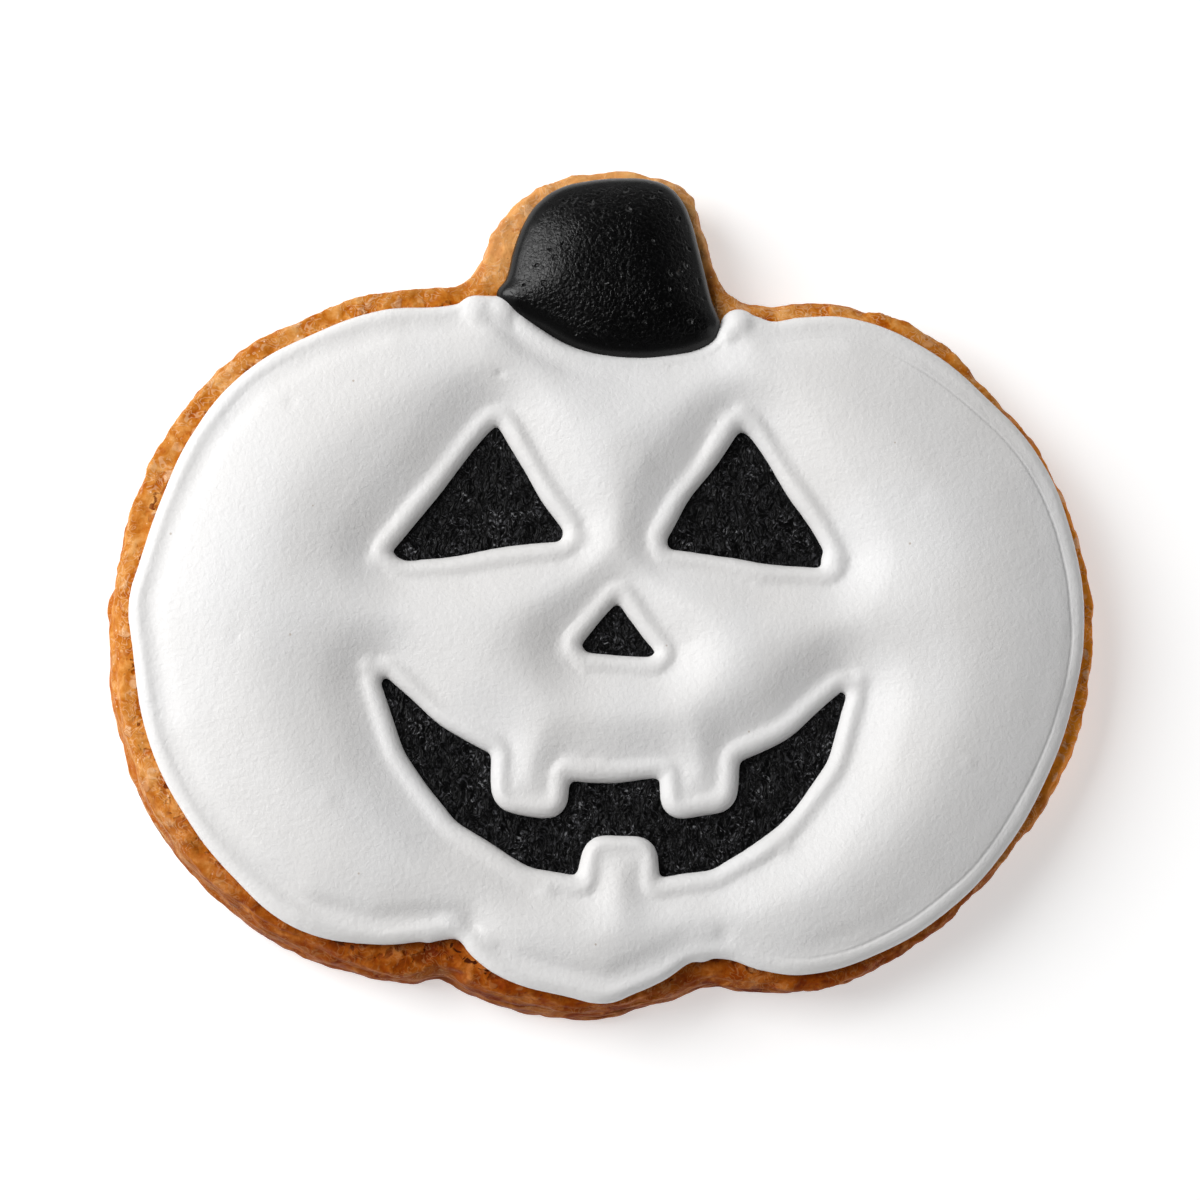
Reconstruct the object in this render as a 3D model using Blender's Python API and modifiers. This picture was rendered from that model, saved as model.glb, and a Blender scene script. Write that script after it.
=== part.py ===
"""An iced gingerbread cookie cut as a pumpkin. It lies flat, iced side up, with its stem towards +Y.

The origin is at the middle of its outline, on the surface that it lies on. The biscuit carries a white
icing with four piped openings, a black field of icing in each opening, and a black cap on the stem.
"""

import bmesh
import bpy
from mathutils import Vector, noise
from mathutils.kdtree import KDTree

MM = 0.001

# Heights.
BISCUIT_THICKNESS = 7.0 * MM
SEAT_GAP = 0.3 * MM
SEAT = BISCUIT_THICKNESS + SEAT_GAP

# White icing: a piped line round every edge, and a flood that domes up between the lines.
EDGE_LINE_RADIUS = 1.2 * MM
OPENING_LINE_RADIUS = 1.15 * MM
LINE_HEIGHT = 0.75 * MM
LINE_UNEVENNESS = 0.12
FLOOD_THICKNESS = 1.25 * MM
FLOOD_RISE = 3.0 * MM
FLOOD_REACH = 17.0 * MM
FLOOD_SOFTENING = 40

# Black icing.
FIELD_THICKNESS = 0.75 * MM
FIELD_RELIEF = 0.14 * MM
CAP_THICKNESS = 2.9 * MM
CAP_ROUNDING = 1.45 * MM
CAP_RISE = 0.7 * MM
CAP_REACH = 8.0 * MM

# Outlines, in millimetres, anticlockwise from the right. A smooth curve passes through the points.
BISCUIT_EDGE = (
    (50.0, -4.5), (49.0, 5.3), (45.2, 14.1), (40.0, 20.8), (33.8, 26.2), (26.4, 29.2), (19.5, 29.8),
    (14.8, 29.5), (12.2, 30.5), (10.9, 33.5), (10.1, 37.3), (8.6, 41.0), (5.4, 42.7), (-0.8, 43.0),
    (-4.9, 42.1), (-8.6, 40.2), (-11.6, 37.0), (-13.4, 32.9), (-15.2, 30.9), (-18.2, 30.5),
    (-24.0, 29.9), (-31.4, 27.2), (-38.5, 22.8), (-43.9, 16.5), (-47.6, 8.8), (-49.6, 0.6),
    (-50.0, -8.0), (-48.4, -16.5), (-45.0, -24.3), (-39.6, -30.8), (-32.8, -35.9), (-25.2, -38.8),
    (-19.9, -39.9), (-16.3, -39.3), (-13.6, -40.9), (-7.4, -42.7), (-0.9, -43.1), (6.2, -41.6),
    (10.8, -39.9), (14.2, -40.5), (20.8, -40.3), (28.5, -37.4), (35.0, -32.6), (41.1, -26.7),
    (46.0, -19.6), (49.1, -11.4),
)
ICING_EDGE = (
    (48.4, -3.1), (47.2, 5.4), (44.2, 13.4), (38.7, 19.8), (32.3, 24.8), (24.9, 27.7), (19.6, 27.7),
    (16.6, 27.3), (14.4, 28.0), (12.6, 27.9), (11.2, 26.2), (9.6, 24.6), (6.2, 23.7), (1.1, 23.4),
    (-3.5, 24.2), (-7.0, 26.0), (-9.6, 28.3), (-12.1, 29.4), (-14.7, 28.6), (-17.4, 28.1),
    (-22.9, 27.6), (-29.9, 25.1), (-36.7, 21.0), (-41.7, 14.9), (-44.9, 7.6), (-46.7, 1.7),
    (-47.8, -2.4), (-47.4, -6.8), (-45.6, -16.2), (-42.0, -23.5), (-37.1, -29.6), (-31.0, -34.4),
    (-23.5, -36.2), (-17.2, -35.7), (-15.0, -35.6), (-13.4, -37.5), (-10.4, -39.5), (-4.2, -41.2),
    (-0.3, -41.9), (2.3, -41.0), (5.4, -39.6), (8.2, -37.8), (11.4, -37.4), (15.4, -38.6),
    (19.5, -38.9), (27.0, -36.8), (33.8, -32.6), (39.6, -26.7), (44.0, -19.5), (47.1, -11.6),
)
CAP_EDGE = (
    (11.0, 26.5), (9.9, 31.3), (9.0, 35.0), (7.8, 39.0), (6.0, 41.2), (3.1, 41.9), (-2.0, 41.4),
    (-5.9, 40.1), (-8.1, 38.3), (-9.5, 35.6), (-10.3, 32.5), (-11.9, 28.9), (-9.0, 26.6),
    (-5.0, 24.0), (0.5, 22.4), (6.5, 22.8),
)

# The face: corners of the piped line round each opening, anticlockwise, in millimetres.
OPENINGS = {
    "left_eye": ((-11.3, 18.0), (-23.4, 2.6), (-21.1, 0.6), (-4.0, 3.0), (-3.3, 5.2)),
    "right_eye": ((12.6, 17.3), (4.2, 4.7), (5.1, 2.4), (21.9, 0.4), (23.9, 2.5), (14.9, 16.4)),
    "nose": ((0.9, 0.1), (-4.4, -6.3), (-3.2, -8.3), (4.7, -8.7), (6.0, -6.8)),
    "mouth": (
        (-24.2, -9.6), (-21.7, -17.8), (-15.8, -25.2), (-8.2, -29.6), (-2.0, -30.9), (-1.7, -26.6),
        (3.4, -26.4), (3.9, -31.0), (10.4, -29.9), (17.6, -25.6), (23.0, -18.4), (25.2, -10.4),
        (23.4, -9.2), (17.6, -14.2), (11.8, -16.9), (11.5, -21.8), (6.4, -22.4), (6.2, -18.2),
        (0.6, -18.9), (-5.0, -18.3), (-5.3, -22.6), (-10.4, -21.8), (-10.5, -16.7), (-16.2, -13.6),
        (-22.2, -8.3),
    ),
}
CORNER_RADIUS = {"left_eye": 2.2, "right_eye": 2.2, "nose": 1.6, "mouth": 1.2}

# Where the piping bag was lifted or set down: x, y and radius in millimetres.
BLOBS = (
    (13.3, 26.2, 1.7), (-12.0, 27.6, 1.9), (-16.4, -34.2, 1.5), (-12.2, -35.9, 1.4), (11.6, -35.9, 1.5),
    (-11.1, 18.9, 1.3), (13.6, 18.1, 1.3), (1.0, 1.0, 1.0), (-24.0, -8.7, 1.2), (25.2, -9.4, 1.2),
)

# The biscuit's side, from its base up: how far in from the outline, and how high, in millimetres.
SIDE_PROFILE = (
    (0.35, 0.35), (0.0, 0.9), (0.1, 1.7), (0.55, 2.1), (0.25, 2.7), (0.3, 3.6), (0.6, 4.0),
    (0.35, 4.7), (0.75, 5.8), (1.45, 6.6), (2.5, 6.95), (4.0, 7.0),
)
BASE_INSET = 0.9 * MM
CRUMB_RELIEF = 0.42 * MM
CRUMB_FADE = 0.8 * MM

# Fineness of the meshes.
BISCUIT_STEPS = 3
ICING_VOXEL = 0.55 * MM
FIELD_VOXEL = 0.45 * MM
WHITE_TRIANGLES = 7200
CAP_TRIANGLES = 800
FIELD_TRIANGLES = {"left_eye": 260, "right_eye": 260, "nose": 130, "mouth": 640}
CUT_CLEARANCE = 0.36 * MM


def clear_scene():
    for old in list(bpy.data.objects):
        bpy.data.objects.remove(old)


def material(name, colour, roughness):
    made = bpy.data.materials.new(name)
    made.use_nodes = True
    shader = made.node_tree.nodes["Principled BSDF"]
    shader.inputs["Base Color"].default_value = (*colour, 1.0)
    shader.inputs["Roughness"].default_value = roughness
    shader.inputs["Metallic"].default_value = 0.0
    return made


def evaluated_mesh(obj):
    """The mesh of obj with its modifiers applied."""
    graph = bpy.context.evaluated_depsgraph_get()
    graph.update()
    return bpy.data.meshes.new_from_object(obj.evaluated_get(graph))


def baked(obj):
    """Replaces obj, a curve or a mesh with modifiers, by a plain mesh with its seams welded."""
    mesh = evaluated_mesh(obj)
    shell = bmesh.new()
    shell.from_mesh(mesh)
    bmesh.ops.remove_doubles(shell, verts=shell.verts, dist=1e-6)
    shell.to_mesh(mesh)
    shell.free()
    made = bpy.data.objects.new(obj.name, mesh)
    made.matrix_world = obj.matrix_world.copy()
    for collection in obj.users_collection:
        collection.objects.link(made)
    name = obj.name
    bpy.data.objects.remove(obj)
    made.name = name
    return made


def linked(name, data, collection):
    made = bpy.data.objects.new(name, data)
    collection.objects.link(made)
    return made


# Outlines

def smooth_loop(points_mm, steps):
    """Points along a closed smooth curve through points_mm, in metres."""
    curve = bpy.data.curves.new("outline", "CURVE")
    curve.dimensions = "2D"
    curve.fill_mode = "NONE"
    curve.resolution_u = steps
    spline = curve.splines.new("BEZIER")
    spline.bezier_points.add(len(points_mm) - 1)
    for knot, (x, y) in zip(spline.bezier_points, points_mm):
        knot.co = (x * MM, y * MM, 0)
        knot.handle_left_type = knot.handle_right_type = "AUTO"
    spline.use_cyclic_u = True
    guide = linked("outline", curve, bpy.context.scene.collection)
    mesh = evaluated_mesh(guide)
    loop = [vertex.co.copy() for vertex in mesh.vertices]
    bpy.data.objects.remove(guide)
    return loop


def rounded_loop(corners_mm, radius_mm, step_mm=1.6, arc_steps=5):
    """Points along a closed polygon whose corners are rounded, in metres."""
    corners = [Vector((x, y, 0)) for x, y in corners_mm]
    ends = []
    for before, here, after in zip(corners[-1:] + corners[:-1], corners, corners[1:] + corners[:1]):
        reach = min(radius_mm, 0.45 * (here - before).length, 0.45 * (after - here).length)
        ends.append((
            here + (before - here).normalized() * reach,
            here,
            here + (after - here).normalized() * reach,
        ))
    loop = []
    for (start, corner, end), (following, _, _) in zip(ends, ends[1:] + ends[:1]):
        for step in range(arc_steps + 1):
            t = step / arc_steps
            loop.append(start.lerp(corner, t).lerp(corner.lerp(end, t), t))
        spans = max(1, round((following - end).length / step_mm))
        loop.extend(end.lerp(following, step / spans) for step in range(1, spans))
    return [point * MM for point in loop]


def inset_loop(loop, inset):
    """The closed loop moved sideways, to its left, by inset. An anticlockwise loop shrinks."""
    moved = []
    for before, here, after in zip(loop[-1:] + loop[:-1], loop, loop[1:] + loop[:1]):
        along = (after - before).normalized()
        moved.append(here + Vector((-along.y, along.x, 0)) * inset)
    return moved


def wavering(loop, amount):
    """The loop with the slight wander of a line piped by hand."""
    return [
        point + Vector((noise.noise(point * 190), noise.noise(point * 190 + Vector((7, 3, 1))), 0)) * amount
        for point in loop
    ]


# Biscuit

def make_biscuit(collection):
    """A lofted slab with a flat base: crumbly, layered side and a soft top edge."""
    outline = smooth_loop(BISCUIT_EDGE, BISCUIT_STEPS)
    slab = bmesh.new()
    place = slab.verts.layers.int.new("place along the outline")
    for index, point in enumerate(inset_loop(outline, BASE_INSET)):
        slab.verts.new(point)[place] = index
    cap = slab.faces.new(slab.verts)
    for inset, height in SIDE_PROFILE:
        grown = bmesh.ops.extrude_face_region(slab, geom=[cap, *cap.edges, *cap.verts])["geom"]
        cap = next(item for item in grown if isinstance(item, bmesh.types.BMFace))
        points = inset_loop(outline, inset * MM)
        for vertex in cap.verts:
            point = points[vertex[place]]
            vertex.co = crumbled(Vector((point.x, point.y, height * MM)))
    bmesh.ops.recalc_face_normals(slab, faces=slab.faces)
    mesh = bpy.data.meshes.new("biscuit")
    slab.to_mesh(mesh)
    slab.free()
    return linked("biscuit", mesh, collection)


def crumbled(spot):
    """The spot pushed in or out by the cracks and crumbs of the dough, which fade towards the top."""
    fade = min(1.0, max(0.0, (BISCUIT_THICKNESS - spot.z) / CRUMB_FADE))
    sample = Vector((spot.x * 150, spot.y * 150, spot.z * 520))
    push = noise.noise_vector(sample) + 0.6 * noise.noise_vector(2.3 * sample)
    return spot + Vector((push.x, push.y, 0.4 * push.z)) * CRUMB_RELIEF * fade


def plate_of(name, loops, thickness, rounding, collection):
    """A plate on the biscuit's seat with those outlines. An outline inside another is a hole in it."""
    curve = bpy.data.curves.new(name, "CURVE")
    curve.dimensions = "2D"
    curve.fill_mode = "BOTH"
    curve.bevel_depth = rounding
    curve.bevel_resolution = 3
    curve.offset = -rounding
    curve.extrude = thickness / 2 - rounding
    for loop in loops:
        spline = curve.splines.new("POLY")
        spline.points.add(len(loop) - 1)
        for knot, point in zip(spline.points, loop):
            knot.co = (point.x, point.y, 0, 1)
        spline.use_cyclic_u = True
    plate = linked(name, curve, collection)
    plate.location.z = SEAT + thickness / 2
    plate = baked(plate)
    plate.data.transform(plate.matrix_world)
    plate.matrix_world.identity()
    return plate


# White icing

def piped_line(name, loop, radius, collection):
    """A closed line of icing along loop, a little thicker and thinner by turns."""
    curve = bpy.data.curves.new(name, "CURVE")
    curve.dimensions = "3D"
    curve.bevel_depth = radius
    curve.bevel_resolution = 3
    spline = curve.splines.new("POLY")
    spline.points.add(len(loop) - 1)
    for knot, point in zip(spline.points, loop):
        knot.co = (point.x, point.y, SEAT + LINE_HEIGHT, 1)
        knot.radius = 1 + LINE_UNEVENNESS * noise.noise(point * 120)
    spline.use_cyclic_u = True
    return linked(name, curve, collection)


def flood(lines, collection):
    """The icing run in between the piped lines. It rises with the distance from the nearest line."""
    plate = plate_of("flood", lines, FLOOD_THICKNESS, 0.0, collection)
    even_mesh(plate, ICING_VOXEL)
    plate = baked(plate)
    dome(plate, lines, SEAT + 0.75 * FLOOD_THICKNESS, FLOOD_RISE, FLOOD_REACH)
    return plate


def dome(obj, edges, above, rise, reach):
    """Lifts what lies above that height by up to rise, more the farther it is from the edges."""
    spots = [point for loop in edges for point in loop]
    nearest = KDTree(len(spots))
    for index, point in enumerate(spots):
        nearest.insert(point, index)
    nearest.balance()
    shape = bmesh.new()
    shape.from_mesh(obj.data)
    top = [vertex for vertex in shape.verts if vertex.co.z > above]
    for vertex in top:
        distance = nearest.find(Vector((vertex.co.x, vertex.co.y, 0)))[2]
        share = min(1.0, distance / reach)
        vertex.co.z += rise * (1 - (1 - share) ** 2)
    for _ in range(FLOOD_SOFTENING):
        bmesh.ops.smooth_vert(
            shape, verts=top, factor=0.5, use_axis_x=False, use_axis_y=False, use_axis_z=True
        )
    shape.to_mesh(obj.data)
    shape.free()


def even_mesh(obj, voxel, smoothing=0):
    """Gives obj an even mesh, which also joins the shapes in it."""
    remesh = obj.modifiers.new("even mesh", "REMESH")
    remesh.mode = "VOXEL"
    remesh.voxel_size = voxel
    if smoothing:
        smooth = obj.modifiers.new("soft", "SMOOTH")
        smooth.factor = 0.5
        smooth.iterations = smoothing


def blob(x, y, radius, collection):
    ball = bmesh.new()
    bmesh.ops.create_uvsphere(ball, u_segments=16, v_segments=10, radius=radius * MM)
    mesh = bpy.data.meshes.new("blob")
    ball.to_mesh(mesh)
    ball.free()
    made = linked("blob", mesh, collection)
    made.location = (x * MM, y * MM, SEAT + LINE_HEIGHT)
    return made


def joined(name, objects, collection):
    """One mesh object that holds the shapes of all the objects, which are removed."""
    together = bmesh.new()
    for obj in objects:
        mesh = evaluated_mesh(obj)
        mesh.transform(obj.matrix_world)
        together.from_mesh(mesh)
        bpy.data.objects.remove(obj)
    mesh = bpy.data.meshes.new(name)
    together.to_mesh(mesh)
    together.free()
    return linked(name, mesh, collection)


def sit_flat(obj, height):
    """Presses what lies below height up to it, so that obj has a flat underside."""
    for vertex in obj.data.vertices:
        vertex.co.z = max(vertex.co.z, height)


def thin_out(obj, triangles):
    """Leaves about that many triangles, the most where obj bends."""
    obj.data.calc_loop_triangles()
    fewer = obj.modifiers.new("fewer faces", "DECIMATE")
    fewer.ratio = triangles / len(obj.data.loop_triangles)
    fewer.use_collapse_triangulate = True


def make_white_icing(collection):
    edge = inset_loop(smooth_loop(ICING_EDGE, 6), EDGE_LINE_RADIUS)
    openings = [
        wavering(rounded_loop(corners, CORNER_RADIUS[name]), 0.25 * MM) for name, corners in OPENINGS.items()
    ]
    pieces = [piped_line("edge_line", edge, EDGE_LINE_RADIUS, collection)]
    pieces += [piped_line("opening_line", loop, OPENING_LINE_RADIUS, collection) for loop in openings]
    pieces += [blob(x, y, radius, collection) for x, y, radius in BLOBS]
    pieces.append(flood([edge, *openings], collection))
    icing = joined("white_icing", pieces, collection)
    even_mesh(icing, ICING_VOXEL, smoothing=2)
    icing = baked(icing)
    sit_flat(icing, SEAT)
    return icing, dict(zip(OPENINGS, openings))


# Black icing

def cutter_round(icing, cutters):
    """The white icing grown by the clearance, to cut what meets it."""
    cutter = linked("white_icing_cutter", icing.data.copy(), cutters)
    grow = cutter.modifiers.new("clearance", "DISPLACE")
    grow.mid_level = 0
    grow.strength = CUT_CLEARANCE
    cutter = baked(cutter)
    for vertex in cutter.data.vertices:
        if vertex.co.z < SEAT + 0.5 * LINE_HEIGHT:
            vertex.co.z -= 1.0 * MM
    cutter.hide_render = True
    cutter.display_type = "WIRE"
    return cutter


def cut_clear(obj, cutter):
    """Cuts obj clear of the cutter, then gives it an even mesh with a flat underside."""
    cut = obj.modifiers.new("clear of the white icing", "BOOLEAN")
    cut.operation = "DIFFERENCE"
    cut.solver = "EXACT"
    cut.object = cutter
    even_mesh(obj, FIELD_VOXEL, smoothing=1)
    obj = baked(obj)
    sit_flat(obj, SEAT)
    return obj


def make_field(name, loop, cutter, collection):
    """The black icing in one opening, with an uneven top."""
    field = cut_clear(plate_of(name, [loop], FIELD_THICKNESS, 0.0, collection), cutter)
    for vertex in field.data.vertices:
        if vertex.co.z > SEAT + FIELD_THICKNESS / 2:
            vertex.co.z += FIELD_RELIEF * noise.noise(vertex.co * 420)
    thin_out(field, FIELD_TRIANGLES[name])
    return baked(field)


def make_cap(cutter, collection):
    """The black cap on the stem: a pillow that goes down to the white icing."""
    edge = smooth_loop(CAP_EDGE, 5)
    cap = cut_clear(plate_of("stem_icing", [edge], CAP_THICKNESS, CAP_ROUNDING, collection), cutter)
    dome(cap, [edge], SEAT + 0.6 * CAP_THICKNESS, CAP_RISE, CAP_REACH)
    thin_out(cap, CAP_TRIANGLES)
    return baked(cap)


def main():
    clear_scene()
    cookie = bpy.data.collections.new("pumpkin cookie")
    cutters = bpy.data.collections.new("cutters")
    for collection in (cookie, cutters):
        bpy.context.scene.collection.children.link(collection)
    baked_dough = material("gingerbread", (0.46, 0.20, 0.06), 0.75)
    white = material("white icing", (0.83, 0.82, 0.81), 0.5)
    black = material("black icing", (0.012, 0.012, 0.013), 0.45)

    biscuit = make_biscuit(cookie)
    biscuit.data.materials.append(baked_dough)

    icing, openings = make_white_icing(cookie)
    cutter = cutter_round(icing, cutters)
    for name, loop in openings.items():
        make_field(name, loop, cutter, cookie).data.materials.append(black)
    make_cap(cutter, cookie).data.materials.append(black)

    thin_out(icing, WHITE_TRIANGLES)
    icing.data.materials.append(white)


main()
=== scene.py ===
import math

import bpy
import numpy as np
from mathutils import Matrix, Vector, noise
from mathutils.kdtree import KDTree


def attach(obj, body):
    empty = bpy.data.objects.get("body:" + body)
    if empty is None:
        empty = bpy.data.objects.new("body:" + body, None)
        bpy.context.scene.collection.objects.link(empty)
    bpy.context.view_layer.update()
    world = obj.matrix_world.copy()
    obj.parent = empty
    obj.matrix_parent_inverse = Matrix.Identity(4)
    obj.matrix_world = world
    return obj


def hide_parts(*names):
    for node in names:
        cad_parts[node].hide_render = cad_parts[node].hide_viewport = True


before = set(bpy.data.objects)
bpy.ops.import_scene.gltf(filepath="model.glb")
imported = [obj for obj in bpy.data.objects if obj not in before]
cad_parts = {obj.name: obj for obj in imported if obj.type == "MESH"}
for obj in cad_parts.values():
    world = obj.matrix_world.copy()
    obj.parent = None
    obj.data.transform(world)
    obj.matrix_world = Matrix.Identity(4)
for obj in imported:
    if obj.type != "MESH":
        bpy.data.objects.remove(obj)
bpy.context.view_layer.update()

mm = 0.001
biscuitTop = 7.0  # heights and outlines below are in millimetres, like this one
icingSeat = biscuitTop + 0.3
icingFoot = biscuitTop - 0.05  # the icing goes that far into the biscuit, so that no gap shows
spare = 0.3  # and is drawn that much deeper, before its underside is made flat
hair = 0.001  # heights that near to each other are the same


# handling pieces

def only(piece, *others):
    # selects these and nothing else
    if bpy.context.mode != "OBJECT":
        bpy.ops.object.mode_set(mode="OBJECT")
    bpy.ops.object.select_all(action="DESELECT")
    for each in (piece, *others):
        each.select_set(True)
    bpy.context.view_layer.objects.active = piece
    return piece


def joined(name, pieces):
    only(*pieces)
    bpy.ops.object.join()
    bpy.context.object.name = name
    return bpy.context.object


def finishModifier(piece, kind, **settings):
    only(piece)
    modifier = piece.modifiers.new(kind.lower(), kind)
    for key, value in settings.items():
        setattr(modifier, key, value)
    bpy.ops.object.modifier_apply(modifier=modifier.name)


def places(piece):
    # every point of the mesh, as an array
    flat = np.empty(len(piece.data.vertices) * 3)
    piece.data.vertices.foreach_get("co", flat)
    return flat.reshape(-1, 3)


def putPlaces(piece, points):
    piece.data.vertices.foreach_set("co", points.ravel())
    piece.data.update()


def selectPoints(piece, mask):
    only(piece)
    bpy.ops.object.mode_set(mode="EDIT")
    bpy.ops.mesh.select_mode(type="VERT")
    bpy.ops.mesh.select_all(action="DESELECT")
    bpy.ops.object.mode_set(mode="OBJECT")
    piece.data.vertices.foreach_set("select", np.asarray(mask, bool))
    bpy.ops.object.mode_set(mode="EDIT")


def fewerFaces(piece, mask):
    # what lies all flat there becomes as few faces as it takes
    selectPoints(piece, mask)
    bpy.ops.mesh.delete(type="FACE")
    bpy.ops.mesh.select_non_manifold(extend=False, use_wire=False, use_boundary=True, use_multi_face=False,
                                     use_non_contiguous=False, use_verts=False)
    bpy.ops.mesh.fill(use_beauty=False)
    bpy.ops.mesh.select_all(action="SELECT")
    bpy.ops.mesh.normals_make_consistent(inside=False)
    bpy.ops.object.mode_set(mode="OBJECT")


def sitFlat(piece, height):
    # a flat underside at that height
    points = places(piece)
    points[:, 2] = np.maximum(points[:, 2], height * mm)
    putPlaces(piece, points)
    fewerFaces(piece, points[:, 2] < (height + hair) * mm)


# drawing outlines

def wander(x, y, pace, shift=0.0):
    return noise.noise(Vector((x * mm, y * mm, 0)) * pace + Vector((7, 3, 1)) * shift)


def drawLine(name, knots, steps=12, unevenness=0.0):
    # a closed curve through the knots, drawn from a circle; a piped one varies in height and width
    bpy.ops.curve.primitive_bezier_circle_add(radius=0.01)
    line = bpy.context.object
    line.name = name
    line.data.dimensions = "3D"
    points = line.data.splines[0].bezier_points
    points.add(len(knots) - len(points))
    for point, (x, y) in zip(points, knots):
        point.co = (x * mm, y * mm, unevenness * wander(x, y, 110, 3) * mm)
        point.radius = 1 + unevenness * wander(x, y, 140)
    bpy.ops.object.mode_set(mode="EDIT")
    bpy.ops.curve.select_all(action="SELECT")
    bpy.ops.curve.handle_type_set(type="AUTOMATIC")
    bpy.ops.object.mode_set(mode="OBJECT")
    line.data.resolution_u = steps
    return line


def movedIn(knots, inset, unevenness=0.0):
    # the same outline, drawn that much further in
    moved = []
    for before, here, after in zip(knots[-1:] + knots[:-1], knots, knots[1:] + knots[:1]):
        along = Vector((after[0] - before[0], after[1] - before[1])).normalized()
        reach = inset + unevenness * wander(*here, 90, 5)
        moved.append((here[0] - along.y * reach, here[1] + along.x * reach))
    return moved


def followed(knots):
    # the places along the smooth line through those knots
    line = drawLine("guide", knots)
    bpy.ops.object.convert(target="MESH")
    spots = [tuple(spot) for spot in places(bpy.context.object)[:, :2] / mm]
    bpy.ops.object.delete()
    return spots


def roundedCorners(corners, radius, spacing=1.6, arcSteps=5):
    # knots along a shape with soft corners
    spots = [Vector(corner) for corner in corners]
    ends = []
    for before, here, after in zip(spots[-1:] + spots[:-1], spots, spots[1:] + spots[:1]):
        reach = min(radius, 0.45 * (here - before).length, 0.45 * (after - here).length)
        ends.append((here.lerp(before, reach / (here - before).length), here,
                     here.lerp(after, reach / (here - after).length)))
    knots = []
    for (start, corner, end), (following, _, _) in zip(ends, ends[1:] + ends[:1]):
        for step in range(arcSteps + 1):
            share = step / arcSteps
            knots.append(start.lerp(corner, share).lerp(corner.lerp(end, share), share))
        spans = max(1, round((following - end).length / spacing))
        knots += [end.lerp(following, step / spans) for step in range(1, spans)]
    return [tuple(knot) for knot in knots]


def plate(name, lines, bottom, top, rounding=0.0):
    # fills the lines and gives them thickness; a line inside another is a hole
    sheet = joined(name, lines) if len(lines) > 1 else only(lines[0])
    sheet.name = name
    sheet.data.dimensions = "2D"
    sheet.data.fill_mode = "BOTH"
    sheet.data.bevel_depth = rounding * mm
    sheet.data.bevel_resolution = 4
    sheet.data.offset = -rounding * mm
    sheet.data.extrude = ((top - bottom) / 2 - rounding) * mm
    sheet.location.z = (top + bottom) / 2 * mm
    bpy.ops.object.convert(target="MESH")
    bpy.ops.object.transform_apply(location=True, rotation=True, scale=True)
    bpy.ops.object.mode_set(mode="EDIT")
    bpy.ops.mesh.select_all(action="SELECT")
    bpy.ops.mesh.remove_doubles(threshold=1e-6)
    bpy.ops.object.mode_set(mode="OBJECT")
    return sheet


def pipedLine(name, knots, radius, height, unevenness, steps=12):
    line = drawLine(name, knots, steps=steps, unevenness=unevenness)
    line.data.bevel_depth = radius * mm
    line.data.bevel_resolution = 6
    line.location.z = height * mm
    bpy.ops.object.convert(target="MESH")
    bpy.ops.object.transform_apply(location=True, rotation=True, scale=True)
    return bpy.context.object


def distanceTo(lineKnots, points, spacing=0.3):
    # how far each point is from the nearest of the drawn lines, in millimetres
    spots = []
    for knots in lineKnots:
        for here, after in zip(knots, knots[1:] + knots[:1]):
            start, end = Vector((*here, 0)), Vector((*after, 0))
            spans = max(1, round((end - start).length / spacing))
            spots += [start.lerp(end, step / spans) for step in range(spans)]
    tree = KDTree(len(spots))
    for index, spot in enumerate(spots):
        tree.insert(spot, index)
    tree.balance()
    return np.array([tree.find((x / mm, y / mm, 0))[2] for x, y, _ in points])


def dome(piece, lineKnots, above, rise, reach, softening):
    # lifts the top, more the farther it is from the lines
    points = places(piece)
    top = points[:, 2] > above * mm
    away = distanceTo(lineKnots, points)
    points[top, 2] += rise * mm * (1 - (1 - np.minimum(away[top] / reach, 1)) ** 2)
    putPlaces(piece, points)
    for part, repeat in ((top & (away > 1.5), softening), (top, 6)):  # little of it reaches the lines
        selectPoints(piece, part)
        bpy.ops.mesh.vertices_smooth(factor=0.5, repeat=repeat, xaxis=False, yaxis=False, zaxis=True)
        bpy.ops.object.mode_set(mode="OBJECT")


def roughen(piece, kind, size, strength, group="", stretch=None, mid=0.5, direction="NORMAL", **settings):
    # pushes the surface in and out by a texture whose lumps have that size, both in millimetres
    texture = bpy.data.textures.new(kind.lower(), kind)
    texture.noise_scale = size * mm
    for key, value in settings.items():
        setattr(texture, key, value)
    options = {"texture": texture, "strength": strength * mm, "mid_level": mid, "vertex_group": group,
               "direction": direction, "texture_coords": "LOCAL"}
    if stretch:
        bpy.ops.object.empty_add()
        guide = bpy.context.object
        guide.scale = stretch
        bpy.context.view_layer.update()
        options.update(texture_coords="OBJECT", texture_coords_object=guide)
    finishModifier(piece, "DISPLACE", **options)
    if stretch:
        bpy.data.objects.remove(guide)


def weigh(piece, name, weights):
    # a vertex group with those weights
    group = piece.vertex_groups.new(name=name)
    levels = np.round(np.clip(weights, 0, 1) * 20).astype(int)
    for level in range(1, 21):
        group.add(np.flatnonzero(levels == level).tolist(), level / 20, "REPLACE")


def note(piece, name, values):
    # a named value on every point, for the materials to read
    attribute = piece.data.attributes.new(name, "FLOAT", "POINT")
    attribute.data.foreach_set("value", np.asarray(values, np.float32))


def between(value, low, high):
    share = np.clip((value - low) / (high - low), 0, 1)
    return share * share * (3 - 2 * share)


# mixing materials

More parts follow.
